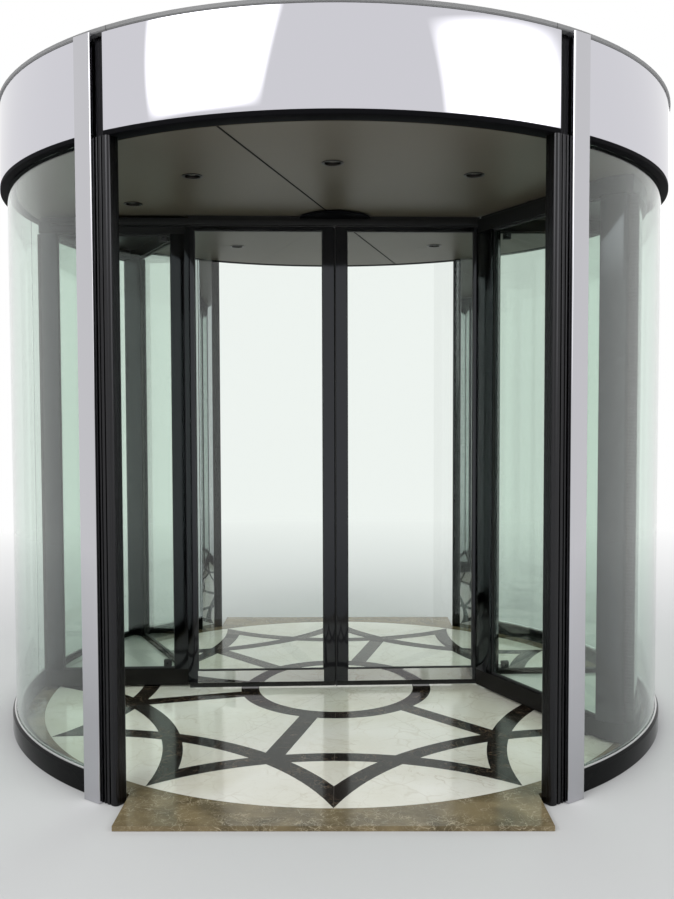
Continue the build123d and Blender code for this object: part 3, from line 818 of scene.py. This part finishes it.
def casePlan():
    # The points in plan that a showcase's pieces share. Its corners are at the doors, at the drum, at the nose and
    # behind the nose: flat along the doors, round at the drum, slanted back to the doors.
    c = caseLook
    y = -c["flatBack"]
    inner, end = np.array([c["innerCorner"], y]), np.array([math.sqrt(c["sweep"] ** 2 - y**2) - c["endTrim"], y])
    reach = math.hypot(*end)
    endAzimuth = math.degrees(math.atan2(end[0], -y))
    cornerAzimuth = c["noseAzimuth"] - math.degrees(c["noseWidth"] / 2 / reach)
    rim = polar(reach, np.linspace(endAzimuth, cornerAzimuth, c["outlineSteps"]))
    behind = rim[-1] - nosePoint(c["noseDepth"])
    slant = unit(behind - inner)
    into = np.array([-slant[1], slant[0]])
    faceEnd, sideEnd = inner + slant * c["innerFace"], inner + np.array([c["innerSide"], 0])
    innerPost = [inner, faceEnd, faceEnd + into * c["innerDepth"], sideEnd - np.array([0, c["innerDepth"]]), sideEnd]
    # The slanted pane stops at the nose post's inner face, where its radial distance is the face's
    slantStart, radial = faceEnd + into * c["panelInset"], nosePoint(1.0)
    innerFace = c["noseRadius"] - c["noseDepth"] / 2
    slantStop = slantStart + slant * ((innerFace - slantStart @ radial) / (slant @ radial) - paneLook["slantGap"])
    return dict(outline=np.concatenate([[inner], rim, [behind]])[::-1], innerPost=innerPost,
                panelLine=y - c["panelInset"], endFace=end[0] - c["endPostInset"], paneStart=sideEnd[0],
                slanted=(slantStart, slantStop))


plan = casePlan()


def showcaseFrame(side):
    # Base and roof are rings of a section round the outline; the posts stand at the doors, the drum and the nose
    c, outline = caseLook, plan["outline"]
    b, w = c["railBevel"], c["railWidth"]
    inside = insetOutline(outline, w)
    base = [(b, baseBottom), (0, baseBottom + b), (0, baseTop - b), (b, baseTop), (w - b, baseTop), (w, baseTop - b),
            (w, baseBottom + c["pocketFloor"]), (w, baseBottom)]
    sidePiece("showcaseBase", side, [stacked(outline, base, closed=True)], "case", replaced="showcase_base")
    shelf = stacked(inside, [(0, baseBottom + c["lap"]), (0, baseTop - c["shelfDrop"])])
    sidePiece("showcaseShelf", side, [shelf], "shelf")
    roof = stacked(outline, chamfered(0, w, roofBottom, headerTop, b), closed=True)
    lid = stacked(inside, [(0, headerTop - c["pocketFloor"]), (0, headerTop - c["lap"])])
    sidePiece("showcaseRoof", side, [roof, lid], "beam", replaced="showcase_roof")
    posts = [
        roundedOutline(plan["innerPost"], c["innerRound"]),
        rectangle(plan["endFace"] - c["endPostWidth"] / 2, plan["panelLine"], c["endPostWidth"], 2 * c["panelInset"],
                  c["postRound"]),
        rectangle(*nosePoint(c["noseRadius"]), c["noseDepth"], c["noseWidth"], c["postRound"],
                  c["noseAzimuth"] - 90),
    ]
    sidePiece("showcasePosts", side, [upright(p, baseTop, roofBottom, c["postBevel"]) for p in posts], "frame",
              replaced="showcase_posts")


def paneGaskets(first, last, low, high, thickness, size, height, bevel):
    # Black strips on both faces of a straight pane, along its foot and head and up its ends
    run = unit(last - first)
    across = np.array([-run[1], run[0]]) * (thickness + size) / 2
    parts = []
    for face in (across, -across):
        for z in (low, high - height):
            parts.append(upright(between(first + face, last + face, size), z, z + height, bevel))
        for corner, step in ((first + face, run * size), (last + face, -run * size)):
            parts.append(upright(between(corner, corner + step, size), low + height, high - height, bevel))
    return parts


def showcasePanes(side):
    # Two straight panes and one carried round the drum's middle, all with gaskets
    c, p = caseLook, paneLook
    flatStart = np.array([plan["paneStart"], plan["panelLine"]])
    flatStop = np.array([plan["endFace"] - c["endPostWidth"], plan["panelLine"]])
    gaskets = []
    for name, ends in (("Flat", (flatStart, flatStop)), ("Slanted", plan["slanted"])):
        pane = upright(between(*ends, p["thickness"]), baseTop, roofBottom, p["bevel"])
        sidePiece(f"showcase{name}Pane", side, [pane], "rotorGlass", f"showcase_{name.lower()}_glass")
        gaskets += paneGaskets(*ends, baseTop, roofBottom, p["thickness"], p["gasket"], p["gasketHeight"],
                               p["gasketBevel"])
    outer, inner = p["curvedRadius"], p["curvedRadius"] - p["thickness"]
    start = 90 - math.degrees(math.asin((c["panelInset"] - plan["panelLine"]) / inner))
    stop = c["noseAzimuth"] + math.degrees(math.asin(c["noseWidth"] / 2 / inner))
    pane = carried(section(inner, outer, baseTop, roofBottom), start, stop, p["steps"])
    sidePiece("showcaseCurvedPane", side, [pane], "rotorGlass", "showcase_curved_glass")
    for face in (outer, inner - p["gasket"]):
        for z in (baseTop, roofBottom - p["gasketHeight"]):
            strip = section(face, face + p["gasket"], z, z + p["gasketHeight"], p["gasketRound"], 2)
            gaskets.append(carried(strip, start, stop, p["steps"]))
    sidePiece("showcaseGaskets", side, gaskets, "gasket")
    paneFittings(side, *flatStart)


def paneFittings(side, startX, paneY):
    # Small black clamps on both faces of the flat pane, at its head and foot near the doors, each with its screw
    f = dict(inset=0.020, width=0.042, height=0.040, proud=0.010, corner=0.0025, bevel=0.002, footGap=0.010,
             screw=0.0055, screwProud=0.0016, screwShoulder=0.6, screwFace=0.7, screwSteps=20)
    x = startX + f["inset"] + f["width"] / 2
    clamps, screws = [], []
    for sign in (1, -1):
        y = paneY + sign * (paneLook["thickness"] + f["proud"]) / 2
        outline = rectangle(x, y, f["width"], f["proud"], f["corner"])
        out = sign * f["screwProud"]
        head = [(f["screw"], 0.0), (f["screw"], out * f["screwShoulder"]), (f["screw"] * f["screwFace"], out)]
        for z in (baseTop + f["footGap"], roofBottom - f["height"]):
            clamps.append(upright(outline, z, z + f["height"], f["bevel"]))
            screws.append(lying(head, x, y + sign * f["proud"] / 2, z + f["height"] / 2, f["screwSteps"]))
    sidePiece("paneFittings", side, clamps, "gasket")
    sidePiece("fittingScrews", side, screws, "frame")


brushLook = dict(tuft=0.016, perTuft=4, swell=0.14, thickness=0.008, footInset=0.034, floorGap=0.006,
                 wallReach=1.632, topInset=0.012, topWidth=0.006, topGap=0.0035, topStart=0.190, topPlace=0.028)
tuftStep = brushLook["tuft"] / brushLook["perTuft"]


def bristles(foot, across, reach, thickness, closed=False):
    # A strip on a line of foot points: a section of shares across and out, whose width swells at each tuft
    shares = np.array([(-0.5, 0), (-0.5, 0.5), (-0.34, 1), (0.34, 1), (0.5, 0.5), (0.5, 0)])
    run = np.cumsum(np.linalg.norm(np.diff(foot, axis=0, prepend=foot[:1]), axis=1))
    width = thickness * (1 - brushLook["swell"] * (1 - np.sin(2 * math.pi * run / brushLook["tuft"])))
    sideways = np.broadcast_to(across, foot.shape)[:, None] * (shares[:, :1] * width[:, None, None])
    return tube(foot[:, None] + sideways + np.array(reach) * shares[:, 1:], closed)


def roundBristles(inset, z, rise, thickness):
    # A brush round the showcase's outline, resampled at about equal steps along its length
    loop = insetOutline(plan["outline"], inset)
    loop = np.concatenate([loop, loop[:1]])
    run = np.concatenate([[0], np.cumsum(np.linalg.norm(np.diff(loop, axis=0), axis=1))])
    places = np.linspace(0, run[-1], int(run[-1] / tuftStep), endpoint=False)
    foot = spread(np.interp(places, run, loop[:, 0]), np.interp(places, run, loop[:, 1]), z)
    ahead = unit(np.roll(foot, -1, 0) - np.roll(foot, 1, 0))
    return bristles(foot, spread(-ahead[:, 1], ahead[:, 0], 0.0), (0, 0, rise), thickness, closed=True)


def showcaseBrushes(side):
    # One brush round the foot, and two upright ones that reach from the posts towards the drum
    b = brushLook
    brush = roundBristles(b["footInset"], baseBottom, floorTop + b["floorGap"] - baseBottom, b["thickness"])
    sidePiece("showcaseFootBrush", side, [brush], "brush", "showcase_brush")
    heights = np.arange(baseTop, roofBottom, tuftStep)
    heights[-1] = roofBottom
    noseFace = caseLook["noseRadius"] + caseLook["noseDepth"] / 2
    brushes = []
    for start, (x, y), postFace in (
        (np.array([plan["endFace"], plan["panelLine"]]), (1.0, 0.0), plan["endFace"]),
        (nosePoint(noseFace), nosePoint(1.0), noseFace),
    ):
        reach = np.array([x, y, 0]) * (b["wallReach"] - postFace)
        brushes.append(bristles(spread(*start, heights), (-y, x, 0), reach, b["thickness"]))
    sidePiece("showcaseSideBrushes", side, brushes, "sideBrush")


def topBrushes(side):
    # Brushes that stand on a showcase's roof and on its half of the header, and stop just under the ceiling
    b = brushLook
    rise = ceilingZ - b["topGap"] - headerTop
    parts = [roundBristles(b["topInset"], headerTop, rise, b["topWidth"])]
    along = np.arange(b["topStart"], caseLook["innerCorner"] + b["topInset"], tuftStep)
    for y in (-b["topPlace"], b["topPlace"]):
        parts.append(bristles(spread(along, y, headerTop), (0, 1, 0), (0, 0, rise), b["topWidth"]))
    sidePiece("topBrush", side, parts, "brush")


def headerBeam():
    # A channel section, open below for the rollers, drawn along the rotor's length between two end plates
    h = dict(reach=1.545, width=0.070, wall=0.008, ledge=0.006, neck=0.020, round=0.002, crease=0.0005,
             plateRound=0.001, plateBevel=0.0008)
    low, high, half, neck = headerBottom, headerTop, h["width"] / 2, h["neck"] / 2
    wall, shelf, head = half - h["wall"], low + h["ledge"], high - h["wall"]
    corners = [(-neck, low), (-neck, shelf), (-wall, shelf), (-wall, head), (wall, head), (wall, shelf),
               (neck, shelf), (neck, low), (half, low), (half, high), (-half, high), (-half, low)]
    crease, edge = h["crease"], h["round"]
    outline = roundedOutline(corners, [crease] * 8 + [edge, crease, crease, edge])
    ends = h["reach"] - h["wall"]
    parts = [tube(spread(np.array([[-ends], [ends]]), *outline.T))]
    for sign in (-1, 1):
        plate = rectangle(sign * (ends + h["wall"] / 2), 0, h["wall"], h["width"], h["plateRound"])
        parts.append(upright(plate, low, high, h["plateBevel"]))
    addPiece("headerBeam", parts, "beam", "rotor", ["header_beam"], restTurn)


def hubCover():
    # A disc's profile with a rounded lower rim
    hub = dict(rim=((-0.006, 0.0), (-0.001, 0.003), (0.0, 0.006)), steps=96)
    low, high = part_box("hub_cover")
    radius = (high.x - low.x) / 2
    profile = [(radius + inward, headerTop + up) for inward, up in hub["rim"]] + [(radius, high.z)]
    addPiece("hubCover", [turnedSolid(profile, hub["steps"])], "lip", "rotor", ["hub_cover"])


for side in ("left", "right"):
    showcaseFrame(side)
    showcasePanes(side)
    showcaseBrushes(side)
    topBrushes(side)
headerBeam()
hubCover()
print("rotor done")


# Sliding doors


leafLook = dict(inner=0.005, outer=0.817, depth=0.040, meeting=0.062, side=0.052, top=0.020, bottom=0.067,
                bevel=0.0012, pane=0.008, gasket=0.004, sealBevel=0.0006, brushInset=0.002)
sealLook = dict(lipReach=0.0056, lipLap=0.002, lipPlace=0.010, lipWidth=0.007, lipRound=0.001, headPlace=0.016,
                headWidth=0.006, headHeight=0.0042, headGap=0.002, headLap=0.001)
hangerLook = dict(inset=0.150, length=0.060, thickness=0.008, bevel=0.0004, lap=0.001, rollerRadius=0.009,
                  rollerHalf=0.018, rollerRim=0.001, tread=0.008, axleShare=0.6, rollerSteps=24, trackLedge=0.006,
                  rollerGap=0.0003)


def hangers(top):
    # Two plates that hang in the track, each with two rollers: wheels at both ends of an axle
    h = hangerLook
    rollerZ = headerBottom + h["trackLedge"] + h["rollerGap"] + h["rollerRadius"]
    r, half, rim, tread = h["rollerRadius"], h["rollerHalf"], h["rollerRim"], h["rollerHalf"] - h["tread"]
    outside = [(r - rim, half), (r, half - rim), (r, tread), (r * h["axleShare"], tread)]
    wheel = [(radius, -place) for radius, place in outside] + outside[::-1]
    plates, rollers = [], []
    for place in (leafLook["inner"] + h["inset"], leafLook["outer"] - h["inset"]):
        plate = rectangle(place, 0, h["length"], h["thickness"])
        plates.append(upright(plate, top - h["lap"], rollerZ, h["bevel"]))
        for shift in (-1, 1):
            x = place + shift * (h["length"] / 2 - r)
            rollers.append(lying(wheel, x, 0, rollerZ, h["rollerSteps"]))
    return plates + rollers


def leaf(side):
    # Bars of the door's frame, its seals, pane gaskets, foot brush and hangers, drawn along X
    s, seal, body = leafLook, sealLook, f"leaf_{side}"
    paneLow, paneHigh = (corner.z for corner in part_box(f"leaf_glass_{side}"))
    low, high = paneLow - s["bottom"], paneHigh + s["top"]
    foot = floorTop + brushLook["floorGap"]
    paneStart, paneEnd = s["inner"] + s["meeting"], s["outer"] - s["side"]

    def bar(x0, x1, z0, z1):
        return upright(rectangle((x0 + x1) / 2, 0, x1 - x0, s["depth"], s["bevel"], steps=2), z0, z1, s["bevel"])

    lip = rectangle(s["inner"] + (seal["lipLap"] - seal["lipReach"]) / 2, -seal["lipPlace"],
                    seal["lipLap"] + seal["lipReach"], seal["lipWidth"], seal["lipRound"], steps=2)
    sidePiece("leafMeetingSeal", side, [upright(lip, foot, high, seal["lipRound"])], "gasket",
              body=body)
    headSeals = []
    for y in (-seal["headPlace"], seal["headPlace"]):
        strip = rectangle((s["inner"] + s["outer"]) / 2, y, s["outer"] - s["inner"] - 2 * seal["headGap"],
                          seal["headWidth"])
        headSeals.append(upright(strip, high - seal["headLap"], high + seal["headHeight"], s["sealBevel"]))
    sidePiece("leafHeadSeal", side, headSeals, "gasket", body=body)
    # The frame bars get the near-black steel that paints dark reflections; the bottom rail gets the pale steel that
    # paints the floor's reflection
    bars = [bar(s["inner"], paneStart, low, high), bar(paneEnd, s["outer"], low, high),
            bar(paneStart, paneEnd, paneHigh, high)]
    sidePiece("leafFrame", side, bars, "frame", replaced="leaf_frame", body=body)
    sidePiece("leafBottomRail", side, [bar(paneStart, paneEnd, low, paneLow)], "rail", body=body)
    gaskets = paneGaskets(np.array([paneStart, 0.0]), np.array([paneEnd, 0.0]), paneLow, paneHigh, s["pane"],
                          s["gasket"], s["gasket"], s["sealBevel"])
    sidePiece("leafGasket", side, gaskets, "gasket", body=body)
    dressNodes("rotorGlass", f"leaf_glass_{side}")
    along = np.arange(s["inner"] + s["brushInset"], s["outer"] - s["brushInset"], tuftStep)
    brush = bristles(spread(along, 0.0, low), (0, 1, 0), (0, 0, foot - low), brushLook["thickness"])
    sidePiece("leafFootBrush", side, [brush], "brush", "leaf_brush", body)
    sidePiece("leafHangers", side, hangers(high), "steel", body=body)


for side in ("left", "right"):
    leaf(side)
print("doors done")


# Camera, light and studio


cameraPlace = dict(x=0.0343, y=-4.9858, z=1.5611, yaw=0.0049, pitch=0.0430, roll=-0.0028, focalPixels=901.9,
                   longSide=899, sensor=36)


def camera():
    # Looking along Y, then rolled about the view, tipped down by the pitch and turned by the yaw
    c = cameraPlace
    data = bpy.data.cameras.new("photoCamera")
    data.sensor_width = c["sensor"]
    data.lens = c["focalPixels"] / c["longSide"] * c["sensor"]
    made = newObject("photoCamera", data)
    tipped = Matrix.Rotation(math.pi / 2 - c["pitch"], 4, "X") @ Matrix.Rotation(c["roll"], 4, "Z")
    made.matrix_world = Matrix.Translation((c["x"], c["y"], c["z"])) @ Matrix.Rotation(c["yaw"], 4, "Z") @ tipped
    bpy.context.scene.camera = made


def softenEdges(data):
    # The lamp fades out towards its edges: one less the cube of the distance from its middle, both ways
    data.use_nodes = True
    tree = data.node_tree
    place = tree.nodes.new("ShaderNodeNewGeometry").outputs["Parametric"]
    fades = []
    for across in addNode(tree, "ShaderNodeSeparateXYZ", Vector=place).outputs[:2]:
        fromMiddle = mathNode(tree, "SUBTRACT", times(tree, across, 2.0), 1.0)
        cube = mathNode(tree, "POWER", mathNode(tree, "ABSOLUTE", fromMiddle), 3.0)
        fades.append(mathNode(tree, "SUBTRACT", 1.0, cube))
    feed(tree, tree.nodes["Emission"], Strength=times(tree, *fades))


def seenDirectly(tree):
    # 1 for what the camera sees itself, in a reflection or through glass
    rays = tree.nodes.new("ShaderNodeLightPath").outputs
    seen = mathNode(tree, "MAXIMUM", rays["Is Camera Ray"], rays["Is Glossy Ray"])
    return mathNode(tree, "MAXIMUM", seen, rays["Is Transmission Ray"])


studioLook = dict(floorHalf=40.0, floorZ=-0.0005, floorColor=(0.62, 0.62, 0.61), floorRough=0.8, paleFrom=2.6,
                  paleTo=8.0, airColor=(0.94, 0.96, 1.0), airStrength=0.75, aim=(0, 0, 1.3))
lamps = dict(
    keyLamp=dict(place=(-5.5, -7.5, 6.5), size=6.5, power=740),
    fillLamp=dict(place=(6.5, -6.0, 4.5), size=6.0, power=400),
    backLamp=dict(place=(2.0, 8.0, 6.0), size=6.5, power=500),
)


def studioFloor():
    # A pale floor that brightens away from the object, so that it runs into the white background
    s = studioLook
    corners = section(-s["floorHalf"], s["floorHalf"], -s["floorHalf"], s["floorHalf"])
    mesh = bpy.data.meshes.new("studioFloor")
    mesh.from_pydata(spread(*corners.T, s["floorZ"]).tolist(), [], [(0, 1, 2, 3)])
    ground = newObject("studioFloor", mesh)
    material, tree, principled, position = newMaterial("studioPale", Base_Color=s["floorColor"],
                                                       Roughness=s["floorRough"])
    far = ramp(tree, distanceOut(tree, position)[0], 0, 1, s["paleFrom"], s["paleTo"])
    glow = addNode(tree, "ShaderNodeEmission", Color=(1, 1, 1), Strength=1.0)
    mixShaders(tree, times(tree, far, seenDirectly(tree)), principled, glow, "Material Output")
    mesh.materials.append(material)


def studioLight():
    # Three wide soft lamps aimed at the object's middle, in a pale air that looks white
    for name, look in lamps.items():
        data = bpy.data.lights.new(name, "AREA")
        data.energy, data.size = look["power"], look["size"]
        softenEdges(data)
        lamp = newObject(name, data)
        lamp.location = look["place"]
        towards = Vector(studioLook["aim"]) - lamp.location
        lamp.rotation_euler = towards.to_track_quat("-Z", "Y").to_euler()
        lamp.visible_camera = lamp.visible_transmission = False
    world = bpy.data.worlds.new("studioWorld")
    bpy.context.scene.world = world
    world.use_nodes = True
    tree = world.node_tree
    air = feed(tree, tree.nodes["Background"], Color=studioLook["airColor"], Strength=studioLook["airStrength"])
    white = addNode(tree, "ShaderNodeBackground", Color=(1, 1, 1), Strength=1.0)
    mixShaders(tree, seenDirectly(tree), air, white, "World Output")
    bpy.context.scene.view_settings.view_transform = "Standard"


camera()
studioFloor()
studioLight()
print("studio done")
